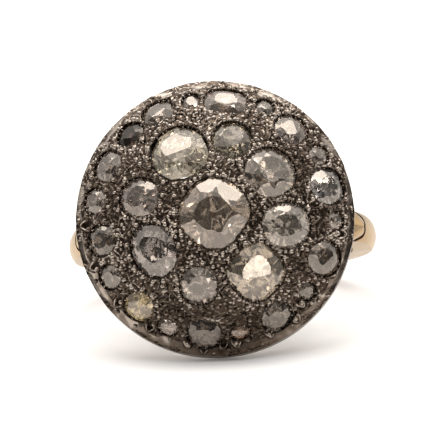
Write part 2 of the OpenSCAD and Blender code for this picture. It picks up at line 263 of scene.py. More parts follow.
# The rim's grains: turns in degrees, each from, to and by; the share left out, the turn's spread in radians
# and their reach in mm.
RIM_BEAD_TURNS = [(15, 215, 3.1), (215, 375, 9.0)]
RIM_BEADS_SKIPPED = 0.38
RIM_BEAD_SPREAD = 0.02
RIM_BEAD_REACH = (HEAD_R - 0.30, HEAD_R - 0.06)

rng = np.random.default_rng(1890)


# Frame


def ring_axes():
    """The hoop's centre and the axes across, along the finger and out through the head, in the row frame."""
    mount = frame["record"]["mounts"][0]
    across = np.array([1.0, 0.0, 0.0])
    finger = np.array(mount["axis"])
    return np.array(mount["pos_m"]), np.stack([across, finger, np.cross(across, finger)])


def to_world(points_mm):
    return hoop_centre + points_mm @ axes * MM


def to_ring(points_m):
    return (points_m - hoop_centre) @ axes.T / MM


def node_points(name):
    mesh = frame["nodes"][name].data
    co = np.zeros(len(mesh.vertices) * 3)
    mesh.vertices.foreach_get("co", co)
    return to_ring(co.reshape(-1, 3))


# Places on the dome


def unit(vectors):
    """Vectors of length 1, one or a row of them."""
    return vectors / np.maximum(np.linalg.norm(vectors, axis=-1, keepdims=True), 1e-12)


def ease(value, start, end):
    """0 before the start, 1 past the end and a straight slope between."""
    return np.clip((value - start) / (end - start), 0, 1)


def at_turn(turn, reach):
    """The direction from the dome's centre to a place on the dome."""
    flat = reach / DOME_R
    return np.array([flat * math.cos(turn), flat * math.sin(turn), math.sqrt(1 - flat**2)])


def flat_way(turn):
    return np.array([math.cos(turn), math.sin(turn), 0])


def tangent_at(direction, angle):
    east = np.cross([0, 0, 1.0], direction)
    east /= max(np.linalg.norm(east), 1e-6)
    return east * math.cos(angle) + np.cross(direction, east) * math.sin(angle)


def any_tangent(direction):
    """A random direction along the dome."""
    return tangent_at(direction, rng.uniform(0, math.pi))


def any_sizes(ranges):
    """A random value from each range, in turn."""
    return [rng.uniform(*limits) for limits in ranges]


def domed(flat):
    """Directions to the dome's points over flat places given as shares of its radius."""
    return np.column_stack([flat, np.sqrt(1 - (flat**2).sum(1))])


class Seat:
    """One stone's place: its axis, its tangent directions, its levels and its girdle's outline, in mm."""

    LEVEL_SLACK = 0.008
    GIRDLE_CORNERS = 12
    NEAR = 1.5
    FAR = 9.0
    NORMAL_STEP = 0.12

    def __init__(self, name):
        points = np.unique(np.round(node_points(name), 4), axis=0)
        middle = points.mean(0) - [0, 0, DOME_Z]
        self.name = name
        self.normal = middle / np.linalg.norm(middle)
        self.round = unit(np.cross([0, 0, 1], self.normal))
        self.slope = np.cross(self.round, self.normal)
        local = points - [0, 0, DOME_Z]
        height = local @ self.normal
        wide = [level for level in np.unique(np.round(height, 2))
                if np.sum(np.abs(height - level) < self.LEVEL_SLACK) >= self.GIRDLE_CORNERS]
        self.table, self.culet = height.max(), height.min()
        self.girdle_top, self.girdle_base = wide[-1], wide[0]
        self.crown = self.table - self.girdle_top
        self.pavilion = self.girdle_base - self.culet
        ring = local[np.abs(height - self.girdle_top) < self.LEVEL_SLACK]
        plane = np.stack([ring @ self.slope, ring @ self.round], 1)
        self.outline = plane[np.argsort(np.arctan2(plane[:, 1], plane[:, 0]))]
        self.size = 2 * np.linalg.norm(self.outline, axis=1).mean()
        edges = np.roll(self.outline, -1, 0) - self.outline
        self.edge_normals = unit(np.stack([edges[:, 1], -edges[:, 0]], 1))

    def point(self, x, y, height):
        """A point in the stone, from the dome's centre."""
        return x * self.slope + y * self.round + height * self.normal

    def plane_of(self, directions):
        p = directions * DOME_R
        return np.stack([p @ self.slope, p @ self.round], 1)

    def on_dome(self, p):
        z = np.sqrt(DOME_R**2 - (p**2).sum(1))
        return self.point(p[:, :1], p[:, 1:], z[:, None]) / DOME_R

    def gaps(self, p):
        return np.einsum("pek,ek->pe", p[:, None, :] - self.outline[None], self.edge_normals)

    def distance(self, directions):
        """Distance outside the outline, in mm, for directions near the stone, and FAR elsewhere."""
        result = np.full(len(directions), self.FAR)
        near = directions @ self.normal > math.cos((self.size + self.NEAR) / DOME_R)
        result[near] = self.gaps(self.plane_of(directions[near])).max(1)
        return result

    def outline_at(self, angle):
        """The outline's point and outward normal at a polar angle."""
        angles = np.arctan2(self.outline[:, 1], self.outline[:, 0])
        radii = np.linalg.norm(self.outline, axis=1)
        steps = np.array([angle, angle + self.NORMAL_STEP, angle - self.NORMAL_STEP])
        r = np.interp(steps, angles, radii, period=FULL_TURN)
        here, after, before = (np.array([math.cos(t), math.sin(t)]) * q for t, q in zip(steps, r))
        along = after - before
        return here, np.array([along[1], -along[0]]) / np.linalg.norm(along)

    def smooth_outline(self, steps):
        """The girdle's outline as a smooth closed curve through the CAD stone's corners."""
        p = self.outline
        curve = []
        for k in range(len(p)):
            a, b, c, d = (p[(k + j) % len(p)] for j in (-1, 0, 1, 2))
            for t in np.arange(steps) / steps:
                curve.append(0.5 * (2 * b + (c - a) * t + (2 * a - 5 * b + 4 * c - d) * t**2
                                    + (3 * b - a - 3 * c + d) * t**3))
        return np.array(curve)

    def edge_places(self, spacing, skipped, jitter, offsets):
        """Random places just outside the outline, each with its outward direction along the dome."""
        count = int(round(math.pi * self.size / spacing))
        for k in range(count):
            if rng.random() < skipped:
                continue
            point, out = self.outline_at((k + rng.uniform(-jitter, jitter)) * FULL_TURN / count)
            yield point + out * rng.uniform(*offsets), out[0] * self.slope + out[1] * self.round


def stone_distance(directions, seats):
    every = np.stack([seat.distance(directions) for seat in seats])
    return every.min(0), every.argmin(0)


def scatter(places, seats):
    """Random directions over the dome that keep off the stones and from each other."""
    rho = places.reach * np.sqrt(rng.uniform(0, 1, places.tries))
    turn = rng.uniform(0, FULL_TURN, places.tries)
    directions = domed(np.stack([rho * np.cos(turn), rho * np.sin(turn)], 1) / DOME_R)
    gap, _ = stone_distance(directions, seats)
    chosen = []
    for direction in directions[gap > places.margin]:
        if not chosen or np.linalg.norm(np.array(chosen) - direction, axis=1).min() * DOME_R > places.apart:
            chosen.append(direction)
    return chosen


def smooth_noise(directions, per_mm, seed):
    """Cheap smooth noise between about -1 and 1: a sum of random plane waves."""
    waves = np.random.default_rng(seed)
    k = unit(waves.normal(0, 1, (14, 3))) * per_mm * waves.uniform(0.6, 1.6, 14)[:, None] * FULL_TURN
    phase = waves.uniform(0, FULL_TURN, 14)
    return np.cos(directions * DOME_R @ k.T + phase).sum(1) / 4


# Meshes and materials


def add_mesh(name, verts_m, faces, smooth=True):
    mesh = bpy.data.meshes.new(name)
    mesh.from_pydata(verts_m.tolist(), [], [list(f) for f in faces])
    mesh.update()
    mesh.polygons.foreach_set("use_smooth", [smooth] * len(mesh.polygons))
    obj = bpy.data.objects.new(name, mesh)
    bpy.context.scene.collection.objects.link(obj)
    return obj


def store_tone_and_painted_light(obj, values):
    layer = obj.data.attributes.new("relief", "FLOAT", "POINT")
    layer.data.foreach_set("value", values.astype(np.float32))


def new_material(name):
    material = bpy.data.materials.new(name)
    material.use_nodes = True
    nodes = material.node_tree.nodes
    return material, nodes, material.node_tree.links, nodes["Principled BSDF"]


def grey(value):
    return (value, value, value)


def drive(nodes, links, factor, stops, socket):
    """Drives a socket by a colour ramp over a factor."""
    ramp = nodes.new("ShaderNodeValToRGB")
    elements = ramp.color_ramp.elements
    while len(elements) < len(stops):
        elements.new(0.5)
    for element, (place, colour) in zip(elements, stops):
        element.position = place
        element.color = (*colour, 1)
    links.new(factor, ramp.inputs["Fac"])
    links.new(ramp.outputs["Color"], socket)


def noise(nodes, links, scale_per_mm, detail=4, roughness=0.6):
    coords = nodes.new("ShaderNodeTexCoord")
    texture = nodes.new("ShaderNodeTexNoise")
    texture.inputs["Scale"].default_value = scale_per_mm / MM
    texture.inputs["Detail"].default_value = detail
    texture.inputs["Roughness"].default_value = roughness
    links.new(coords.outputs["Object"], texture.inputs["Vector"])
    return texture.outputs["Fac"]


def multiply_add(nodes, links, value, factor, term):
    """The value times a number, plus a number or another value."""
    node = nodes.new("ShaderNodeMath")
    node.operation = "MULTIPLY_ADD"
    links.new(value, node.inputs[0])
    node.inputs[1].default_value = factor
    if isinstance(term, float):
        node.inputs[2].default_value = term
    else:
        links.new(term, node.inputs[2])
    return node.outputs[0]


def colour_mix(nodes, blend_type="MIX"):
    mix = nodes.new("ShaderNodeMix")
    mix.data_type = "RGBA"
    mix.blend_type = blend_type
    return mix.inputs["Factor"], mix.inputs[6], mix.inputs[7], mix.outputs[2]


def metal(name, tones, patches_per_mm, roughness, bumps_per_mm, bump_strength, bump_mm, relief=False):
    """Worn metal: its colour runs over patches of stain, and over the stored tone where the mesh has it, with
    its painted light and shade.
    """
    material, nodes, links, shader = new_material(name)
    patches = noise(nodes, links, patches_per_mm, 5)
    level = patches
    if relief:
        # The stored relief attribute is the tone of wear and patina, with painted light and painted shade.
        stored = nodes.new("ShaderNodeAttribute")
        stored.attribute_name = "relief"
        level = multiply_add(nodes, links, patches, 0.3, stored.outputs["Fac"])
    drive(nodes, links, level, tones, shader.inputs["Base Color"])
    smooth, rough = roughness
    drive(nodes, links, patches, [(0.3, grey(smooth)), (0.7, grey(rough))], shader.inputs["Roughness"])
    shader.inputs["Metallic"].default_value = 1
    bump = nodes.new("ShaderNodeBump")
    bump.inputs["Strength"].default_value = bump_strength
    bump.inputs["Distance"].default_value = bump_mm * MM
    links.new(noise(nodes, links, bumps_per_mm, 3), bump.inputs["Height"])
    links.new(bump.outputs["Normal"], shader.inputs["Normal"])
    return material


def old_diamond(name, tint, cloud):
    """A clear old-cut diamond with a body colour and drifting clouds of inclusions."""
    material, nodes, links, shader = new_material("diamond_" + name)
    haze = noise(nodes, links, 0.9, 5, 0.7)
    pale = tuple(min(1, c * 1.25) for c in tint)
    drive(nodes, links, haze, [(0.35, tint), (0.68, pale)], shader.inputs["Base Color"])
    drive(nodes, links, haze, [(0.35, grey(1 - cloud * 0.4)), (0.75, grey(1 - cloud * 1.8))],
          shader.inputs["Transmission Weight"])
    scratches = noise(nodes, links, 1.6, 6, 0.75)
    drive(nodes, links, scratches, [(0.42, grey(0.0)), (0.75, grey(0.22))], shader.inputs["Roughness"])
    shader.inputs["Specular Tint"].default_value = (1, 0.89, 0.78, 1)
    shader.inputs["IOR"].default_value = STONE_IOR.get(name, DIAMOND_IOR)
    return material


def dull(name, tones, grains_per_mm, detail, roughness, glow=None):
    """A dull surface whose tone drifts with a soft grain; it may glow faintly."""
    material, nodes, links, shader = new_material(name)
    drive(nodes, links, noise(nodes, links, grains_per_mm, detail), tones, shader.inputs["Base Color"])
    shader.inputs["Roughness"].default_value = roughness
    if glow:
        colour, strength = glow
        shader.inputs["Emission Color"].default_value = (*colour, 1)
        shader.inputs["Emission Strength"].default_value = strength
    return material


def carved_silver():
    """The dome's darkened silver, whose tone follows the carving and the painted light and shade stored with
    it.
    """
    return metal("carved_silver", CARVED_TONES, patches_per_mm=0.9, roughness=(0.16, 0.30),
                 bumps_per_mm=8.0, bump_strength=0.3, bump_mm=0.02, relief=True)


def satin_silver():
    """The head's plain silver below the carved skin."""
    return metal("satin_silver", BAND_TONES, patches_per_mm=0.6, roughness=(0.32, 0.45),
                 bumps_per_mm=14.0, bump_strength=0.12, bump_mm=0.01)


def worn_gold():
    """The hoop's worn satin gold."""
    return metal("worn_gold", GOLD_TONES, patches_per_mm=0.5, roughness=(0.25, 0.38),
                 bumps_per_mm=10.0, bump_strength=0.12, bump_mm=0.01)


def worn_culet():
    """A worn stone's point, which shows pale through its table, helped by a faint painted glow."""
    return dull("worn_culet", CULET_TONES, 6, 3, 0.5, glow=((1, 0.95, 0.88), 0.25))


def pale_feather():
    return dull("pale_feather", PALE_FEATHER_TONES, 5, 3, 0.4)


def dark_feather():
    return dull("dark_feather", DARK_FEATHER_TONES, 5, 3, 0.4)


def pale_floor():
    return dull("pale_floor", FLOOR_TONES, 0.02, 2, 0.6, glow=((1, 0.93, 0.89), 0.12))


# Old-cut stones


def stone_draw(seat, use):
    """The random numbers of one stone, for one use."""
    ring = ["centre", "inner", "outer"].index(seat.name.split("_")[1])
    place = int(seat.name.split("_")[2]) if ring else 0
    return np.random.default_rng([use, ring, place, STONE_CUTS.get(seat.name, 0)])


class Block:
    """A block with a stone's outline, from which facets are sliced; z = 0 at the girdle's top."""

    def __init__(self, seat, draw):
        self.seat, self.draw = seat, draw
        self.wobble = BIG_STONE_WOBBLE if seat.size > BIG_STONE else SMALL_STONE_WOBBLE
        self.start = draw.uniform(0, math.pi / 4)
        self.solid = bmesh.new()
        outline = seat.smooth_outline(3)
        top = [self.solid.verts.new((*p, seat.crown)) for p in outline]
        base = [self.solid.verts.new((*p, seat.culet - seat.girdle_top)) for p in outline]
        self.solid.faces.new(top)
        self.solid.faces.new(base[::-1])
        for i in range(len(outline)):
            j = (i + 1) % len(outline)
            self.solid.faces.new((top[i], base[i], base[j], top[j]))

    def slice_off(self, point, normal):
        """Cuts away what lies beyond a plane and closes the cut with one facet."""
        parts = self.solid.verts[:] + self.solid.edges[:] + self.solid.faces[:]
        cut = bmesh.ops.bisect_plane(self.solid, geom=parts, dist=1e-5, plane_co=Vector(point),
                                     plane_no=Vector(normal).normalized(), clear_outer=True)
        edges = [g for g in cut["geom_cut"] if isinstance(g, bmesh.types.BMEdge)]
        if len(edges) > 2:
            bmesh.ops.contextual_create(self.solid, geom=edges)

    def cut_rows(self, rows, depth, culet, level, side):
        """Rows of facets from a level toward the table (side 1) or the culet (side -1), slightly uneven."""
        for row in rows:
            inner = culet if row.inner is None else row.inner
            spread = self.wobble * row.uneven
            for k in range(row.count):
                angle = self.start + (k + row.offset) * FULL_TURN / row.count + self.draw.normal(0, spread)
                point, out = self.seat.outline_at(angle)
                flat = float(point @ out)
                lean = depth * row.rise * (1 + self.draw.normal(0, spread))
                spot = out * flat * row.reach * (1 + self.draw.normal(0, spread * 0.25))
                self.slice_off((*spot, level + side * depth * row.start),
                               (*(out * lean), side * flat * (row.reach - inner)))

    def finish(self):
        """Points, faces and which faces are the stone's foot."""
        bmesh.ops.remove_doubles(self.solid, verts=self.solid.verts, dist=1e-4)
        bmesh.ops.recalc_face_normals(self.solid, faces=self.solid.faces)
        self.solid.verts.index_update()
        points = np.array([v.co for v in self.solid.verts])
        faces = [[v.index for v in f.verts] for f in self.solid.faces]
        foot_top = points[:, 2].min() + FOOT_MM
        feet = [bool((points[face, 2] < foot_top).all()) for face in faces]
        self.solid.free()
        return points, faces, feet


def cut_stone(seat, looks):
    """An old-cut stone in its seat: the CAD stone's form with hand-cut, slightly uneven facets."""
    draw = stone_draw(seat, 1)
    block = Block(seat, draw)
    block.slice_off((0, 0, seat.crown * TABLE_SHARE), (*draw.normal(0, TABLE_TILT, 2), 1))
    block.cut_rows(CROWN_ROWS, seat.crown, None, 0, 1)
    girdle_base = seat.girdle_base - seat.girdle_top
    culet = PALE_CULETS.get(seat.name, draw.uniform(*CULET_RANGE))
    block.cut_rows(PAVILION_ROWS, seat.pavilion, culet, girdle_base, -1)
    if seat.size > BIG_STONE:
        block.cut_rows(EXTRA_CROWN_ROWS, seat.crown, None, 0, 1)
        block.cut_rows(EXTRA_PAVILION_ROWS, seat.pavilion, culet, girdle_base, -1)
    local, faces, feet = block.finish()
    points = seat.point(local[:, :1], local[:, 1:2], local[:, 2:] + seat.girdle_top) + [0, 0, DOME_Z]
    stone = add_mesh("cut_" + seat.name, to_world(points), faces, smooth=False)
    stone.data.materials.append(old_diamond(seat.name, *looks))
    if seat.name in PALE_CULETS:
        stone.data.materials.append(worn_culet())
        stone.data.polygons.foreach_set("material_index", [int(foot) for foot in feet])
    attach(stone, "root")
    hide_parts(seat.name)


def fleck_centre(seat, draw):
    """A random place well inside a stone."""
    depth = draw.uniform(-0.55 * seat.pavilion, 0.55 * seat.crown)
    room = 0.72 if depth > 0 else 0.75 * (1 + depth / seat.pavilion)
    turn, share = draw.uniform(0, FULL_TURN), math.sqrt(draw.uniform(0, 1))
    x, y = seat.outline_at(turn)[0] * share * room
    return seat.point(x, y, seat.girdle_top + depth)


def fleck(seat, draw):
    """A tiny flat crack or crystal: an uneven ring of points and the two tips of its faces."""
    centre = fleck_centre(seat, draw)
    wide, deep, thin = np.linalg.qr(draw.normal(0, 1, (3, 3)))[0]
    count = int(draw.integers(4, 7))
    radius = seat.size * (FLECK_LEAST + FLECK_EXTRA * draw.random()**2)
    narrow = draw.uniform(*FLECK_NARROW)
    points = []
    for k in range(count):
        angle = FULL_TURN * k / count + draw.uniform(*FLECK_JITTER)
        reach = radius * draw.uniform(*FLECK_REACH)
        points.append(centre + wide * math.cos(angle) * reach + deep * math.sin(angle) * reach * narrow)
    points += [centre + thin * FLECK_TIP, centre - thin * FLECK_TIP]
    faces = []
    for k in range(count):
        j = (k + 1) % count
        faces += [[k, j, count], [j, k, count + 1]]
    return points, faces


def inclusions(seats):
    """The cracks and crystals inside the stones, pale or dark."""
    points, faces, kinds = [], [], []
    for seat in seats:
        draw = stone_draw(seat, 2)
        for _ in range(int(FLECKS_LEAST + FLECKS_PER_MM * seat.size)):
            fleck_points, fleck_faces = fleck(seat, draw)
            faces += [[len(points) + v for v in face] for face in fleck_faces]
            points += fleck_points
            kinds += [int(draw.random() < DARK_FLECKS)] * len(fleck_faces)
    flecks = add_mesh("stone_inclusions", to_world(np.array(points) + [0, 0, DOME_Z]), faces, smooth=False)
    flecks.data.materials.append(pale_feather())
    flecks.data.materials.append(dark_feather())
    flecks.data.polygons.foreach_set("material_index", kinds)
    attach(flecks, "root")


# The carved skin of the dome


def disc_grid(n):
    """A square grid bent into a disc of radius 1 with cells of equal area, and its quads."""
    line = np.linspace(-1, 1, n)
    a, b = np.meshgrid(line, line, indexing="ij")
    wide = np.abs(a) > np.abs(b)
    safe_a = np.where(a == 0, 1e-9, a)
    safe_b = np.where(b == 0, 1e-9, b)
    r = np.where(wide, a, b)
    phi = np.where(wide, math.pi / 4 * b / safe_a, math.pi / 2 - math.pi / 4 * a / safe_b)
    points = np.stack([r * np.cos(phi), r * np.sin(phi)], -1).reshape(-1, 2)
    index = np.arange(n * n).reshape(n, n)
    quads = np.stack([index[:-1, :-1], index[1:, :-1], index[1:, 1:], index[:-1, 1:]], -1).reshape(-1, 4)
    return points, quads


def cad_grains():
    """Directions of the CAD head's raised grains from the dome's centre."""
    cap_height, cap_size = 0.14, 0.25
    local = node_points("silver_head") - [0, 0, DOME_Z]
    r = np.linalg.norm(local, axis=1)
    high = (r > DOME_R + cap_height) & (local[:, 2] > 0)
    caps = local[high] / r[high][:, None]
    centres = []
    left = np.ones(len(caps), bool)
    for i in range(len(caps)):
        if left[i]:
            mine = np.linalg.norm(caps - caps[i], axis=1) * DOME_R < cap_size
            centres.append(caps[mine & left].mean(0))
            left &= ~mine
    return unit(np.array(centres))


class Relief:
    """The height of the carved metal over the dome, built up from single strokes and grains."""

    def __init__(self, directions):
        self.directions = directions
        self.tree = KDTree(len(directions))
        for i, d in enumerate(directions):
            self.tree.insert(d, i)
        self.tree.balance()
        self.height = np.full(len(directions), SKIN_FACE)
        self.height += sum(high * smooth_noise(directions, per_mm, seed) for high, per_mm, seed in SKIN_WAVES)
        self.wear = np.zeros(len(directions))
        self.sunk = np.zeros(len(directions))

    def patch(self, direction, along, half_long, half_wide):
        """Points within an oval about a direction, with their scaled coordinates in it."""
        side = along - direction * (along @ direction)
        side /= np.linalg.norm(side)
        other = np.cross(direction, side)
        found = self.tree.find_range(Vector(direction), max(half_long, half_wide) / DOME_R)
        ids = np.array([f[1] for f in found], int)
        offset = (self.directions[ids] - direction) * DOME_R
        u, v = offset @ side / half_long, offset @ other / half_wide
        inside = u * u + v * v < 1
        return ids[inside], u[inside], v[inside]

    def lift_to(self, ids, crest, top):
        """Lifts points to a crest over the cuts' floor; they are worn as much as they near its top."""
        raised = SKIN_CUT + crest > self.height[ids]
        self.height[ids] = np.maximum(self.height[ids], SKIN_CUT + crest)
        self.wear[ids[raised]] = np.maximum(self.wear[ids[raised]], crest[raised] / top)

    def grain(self, direction, along, half_long, half_wide, top):
        """A rounded grain."""
        ids, u, v = self.patch(direction, along, half_long, half_wide)
        self.lift_to(ids, top * np.sqrt(np.clip(1 - u * u - v * v, 0, 1)), top)

    def ridge(self, direction, along, half_long, half_wide, top):
        """A sharp burr thrown up by the graver."""
        ids, u, v = self.patch(direction, along, half_long, half_wide)
        self.lift_to(ids, top * (1 - np.abs(v)) * np.sqrt(np.clip(1 - u * u, 0, 1)), top)

    def sink(self, direction, along, half_long, half_wide):
        """A hollow with a flat floor."""
        ids, u, v = self.patch(direction, along, half_long, half_wide)
        edge = np.clip((1 - np.hypot(u, v)) / 0.25, 0, 1)
        self.height[ids] = self.height[ids] * (1 - edge) + SKIN_CUT * edge
        self.wear[ids] *= 1 - edge
        self.sunk[ids] = np.maximum(self.sunk[ids], edge)

    def ditch(self, direction, along, half_long, half_wide, floor):
        """A V-shaped graver's cut."""
        ids, u, v = self.patch(direction, along, half_long, half_wide)
        depth = np.sqrt(np.clip(1 - u * u, 0, 1)) * (1 - np.abs(v))
        self.height[ids] = np.minimum(self.height[ids], SKIN_FACE + (floor - SKIN_FACE) * depth * 1.6)
        self.wear[ids] *= 1 - depth


def carve_cuts(relief, seats, places, sizes, floor):
    for direction in scatter(places, seats):
        relief.ditch(direction, any_tangent(direction), *any_sizes(sizes), floor)


def carve_field(relief, seats):
    """The fine grains and burrs between the stones, in patches where one or the other prevails."""
    places = scatter(FINE_GRAINS, seats)
    patches = smooth_noise(np.array(places), *PATCH_NOISE)
    for direction, patch in zip(places, patches):
        along = any_tangent(direction)
        if rng.random() < BURR_SHARE + BURR_DRIFT * patch:
            half_long, half_wide, height = any_sizes(BURR_SIZES)
            relief.ridge(direction, along, half_long, half_wide, SKIN_FACE + height)
        else:
            radius = rng.uniform(*GRAIN_RADII)
            half_long = radius * rng.choice(GRAIN_STRETCH)
            relief.grain(direction, along, half_long, radius, SKIN_FACE + rng.uniform(*GRAIN_HEIGHTS))


def carve_claws(relief, seats):
    """The small claws that point at each stone."""
    for seat in seats:
        for place, along in seat.edge_places(*CLAW_PLACES):
            half_long, half_wide, height = any_sizes(CLAW_SIZES)
            relief.grain(seat.on_dome(place[None])[0], along, half_long, half_wide, SKIN_FACE + height)


def carve_leaf(relief, turn, reach):
    """Two lobes that meet in a point toward the rim, in a hollow of their own."""
    relief.sink(at_turn(turn, reach), flat_way(turn), *LEAF_HOLLOW)
    for side in (-1, 1):
        relief.ridge(at_turn(turn + side * LEAF_SPREAD, reach), flat_way(turn - side * LEAF_LEAN), *LEAF_LOBE)


def carve_main_grains(relief):
    half_long, half_wide, height = MAIN_GRAIN
    for direction in cad_grains():
        relief.grain(direction, any_tangent(direction), half_long, half_wide,
                     height + rng.uniform(*MAIN_GRAIN_EXTRA))


def carve(relief, seats):
    """All the worker's strokes, each over those before it."""
    carve_cuts(relief, seats, BROAD_CUTS, BROAD_CUT_SIZES, SKIN_CUT)
    carve_field(relief, seats)
    carve_cuts(relief, seats, THIN_CUTS, THIN_CUT_SIZES, SKIN_CUT + THIN_CUT_LIFT)
    carve_claws(relief, seats)
    for turn, reach in LEAF_CUTS:
        carve_leaf(relief, math.radians(turn), reach)
    carve_main_grains(relief)


def gap_width(directions, nearest, seats):
    """Width of the sunk gap beside the nearest stone, darkened as painted shade: wider toward the rim, most
    at the outer stones.
    """
    width = np.full(len(directions), MOAT_W)
    for i, seat in enumerate(seats):
        mine = nearest == i
        way = unit(seat.plane_of(directions[mine]))
        toward_rim = np.clip(way[:, 0], 0, 1)**2
        one_side = np.clip(way @ (math.cos(i * 2.1), math.sin(i * 2.1)), 0, 1)**2
        share = (1.0 if "outer" in seat.name else 0.35) * (0.5 + 0.5 * math.sin(i * 1.7))
        width[mine] += MOAT_RIM_EXTRA * share * toward_rim + MOAT_SIDE_EXTRA * one_side
    return width * (1 + 0.4 * smooth_noise(directions, *GAP_NOISE))


def snap_to_stones(directions, seats):
    """Moves the points close to a stone onto the skin's edge; gives all points' gaps and nearest stones."""
    gap, nearest = stone_distance(directions, seats)
    for _ in range(2):
        close = np.where(np.abs(gap - SKIN_EDGE) < SNAP_CELLS * SKIN_CELL)[0]
        for i, seat in enumerate(seats):
            mine = close[nearest[close] == i]
            if len(mine):
                p = seat.plane_of(directions[mine])
                normal = seat.edge_normals[seat.gaps(p).argmax(1)]
                directions[mine] = seat.on_dome(p + normal * (SKIN_EDGE - gap[mine])[:, None])
        gap, nearest = stone_distance(directions, seats)
    return gap, nearest


def skin_grid(seats):
    """The skin's directions and quads, with each point's gap to the nearest stone and that stone's number."""
    grid, quads = disc_grid(SKIN_GRID)
    directions = domed(grid * SKIN_REACH / DOME_R)
    gap, nearest = snap_to_stones(directions, seats)
    quads = quads[(gap[quads] > SKIN_EDGE - EDGE_SLACK).all(1)]
    used, quads = np.unique(quads, return_inverse=True)
    return directions[used], quads.reshape(-1, 4), gap[used], nearest[used]


def rim_share(relief, gap, up, reach):
    """1 on the plain band round the carved field and 0 within it, with a wavy border, clear of the stones."""
    low = np.clip(0.5 - up, 0, 1)
    waves = smooth_noise(relief.directions, *BORDER_NOISE)
    border = PAVE_R + 0.04 - 0.34 * low + (0.28 - 0.16 * low) * waves
    near_stones = 1 - ease(gap, 0.7, 1.1)
    return ease(reach, border, border + 0.06) * near_stones * ease(gap, 0.06, 0.10) * (1 - relief.sunk)


def field_tone_and_painted_light(relief, moat_and_painted_shade, lift, up):
    """Tone of the carved field: worn crests, dark cuts, painted shade by the stones, in leaf hollows and low
    down, painted light high up.
    """
    tone = BARE_TONE + WEAR_TONE * relief.wear**WEAR_POWER
    tone *= 1 + WEAR_DRIFT * np.clip(smooth_noise(relief.directions, *WEAR_NOISE), -1, 1)
    # Painted light makes the field paler toward the top, and painted shade darkens it toward the bottom.
    tone *= 0.95 + 0.3 * np.clip(up, 0, 1)**2 + 0.25 * ease(up, 0.55, 0.85) - 0.35 * ease(-up, 0.5, 0.9)
    # Painted shade: the tone is darkened in the gap beside each stone.
    tone *= np.where(relief.wear > WORN, 0.5 + 0.5 * moat_and_painted_shade, 0.25 + 0.75 * moat_and_painted_shade)
    tone *= np.clip(lift / SKIN_FACE, 0.1, 1)
    # Painted shade darkens the leaf hollows, and their worn lobes are lightened.
    return tone * (1 + relief.sunk * np.where(relief.wear > 0.25, 0.8, -0.6))


def rim_tone_and_painted_light(directions, up, left):
    """The plain band's tone: painted light makes it palest at the top and sides, and painted shade makes it
    darkest at the bottom.
    """
    tone = 0.55 + 0.36 * np.clip(left, 0, 1) + 0.35 * np.clip(up, 0, 1) + 0.3 * np.clip(-left - 0.3, 0, 1)
    return tone - 0.25 * ease(-up, 0.86, 0.96) + 0.1 * smooth_noise(directions, *RIM_NOISE)


def point_normals(points, quads):
    across = points[quads[:, 2]] - points[quads[:, 0]]
    down = points[quads[:, 3]] - points[quads[:, 1]]
    face_normals = np.cross(across, down)
    normals = np.zeros_like(points)
    for corner in range(4):
        np.add.at(normals, quads[:, corner], face_normals)
    return unit(normals)


def add_skin_quarters(points, quads, tone, silver):
    """The skin as four pieces, one to each quarter of the dome, with normals that run on between them."""
    normals = point_normals(points, quads)
    middle = points[quads].mean(1)
    quarter = (middle[:, 0] > 0) * 2 + (middle[:, 1] > 0)
    for k in range(4):
        ids, faces = np.unique(quads[quarter == k], return_inverse=True)
        skin = add_mesh("carved_skin_%d" % (k + 1), to_world(points[ids]), faces.reshape(-1, 4))
        skin.data.normals_split_custom_set_from_vertices((normals[ids] @ axes).tolist())
        store_tone_and_painted_light(skin, tone[ids])
        skin.data.materials.append(silver)
        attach(skin, "root")


def carved_skin(seats, silver):
    """The dome's worked surface: a thin skin over the CAD dome, cut away at the stones, with real grains."""
    directions, quads, gap, nearest = skin_grid(seats)
    relief = Relief(directions)
    carve(relief, seats)
    up, left = directions[:, 1] * DOME_R / HEAD_R, -directions[:, 0] * DOME_R / HEAD_R
    reach = np.hypot(directions[:, 0], directions[:, 1]) * DOME_R
    moat_and_painted_shade = ease(gap, MOAT_START, MOAT_START + np.maximum(gap_width(directions, nearest, seats), MOAT_W))
    bank = np.where(relief.wear > WORN, np.maximum(moat_and_painted_shade, 0.6), moat_and_painted_shade**0.7)
    lift = SKIN_CUT + (relief.height - SKIN_CUT) * bank
    rim = rim_share(relief, gap, up, reach)
    tone = field_tone_and_painted_light(relief, moat_and_painted_shade, lift, up) * (1 - rim) + rim_tone_and_painted_light(directions, up, left) * rim
    lift = lift * (1 - rim) + SKIN_RIM * rim
    wall = gap < SKIN_EDGE + WALL_CELLS * SKIN_CELL
    lift[wall] = SKIN_WALL
    # Painted shade: the wall down into each stone's seat is painted black.
    tone[wall] = 0
    base = directions * DOME_R + [0, 0, DOME_Z]
    on_lip = reach > PAVE_R
    base[on_lip, 2] = LIP_Z - (reach[on_lip] - PAVE_R) * 0.5
    add_skin_quarters(base + directions * lift[:, None], quads, tone, silver)


# The separate small grains


def ball(rows, steps):
    """A ball of radius 1: its points and faces."""
    points, faces = [[0, 0, 1.0]], []
    for i in range(1, rows):
        a = math.pi * i / rows
        for k in range(steps):
            b = FULL_TURN * k / steps
            points.append([math.sin(a) * math.cos(b), math.sin(a) * math.sin(b), math.cos(a)])
    last = len(points)
    points.append([0, 0, -1.0])
    for k in range(steps):
        j = (k + 1) % steps
        faces.append([0, 1 + k, 1 + j])
        faces.append([last, last - steps + j, last - steps + k])
        for i in range(rows - 2):
            a, b = 1 + i * steps, 1 + (i + 1) * steps
            faces.append([a + k, b + k, b + j, a + j])
    return np.array(points), faces


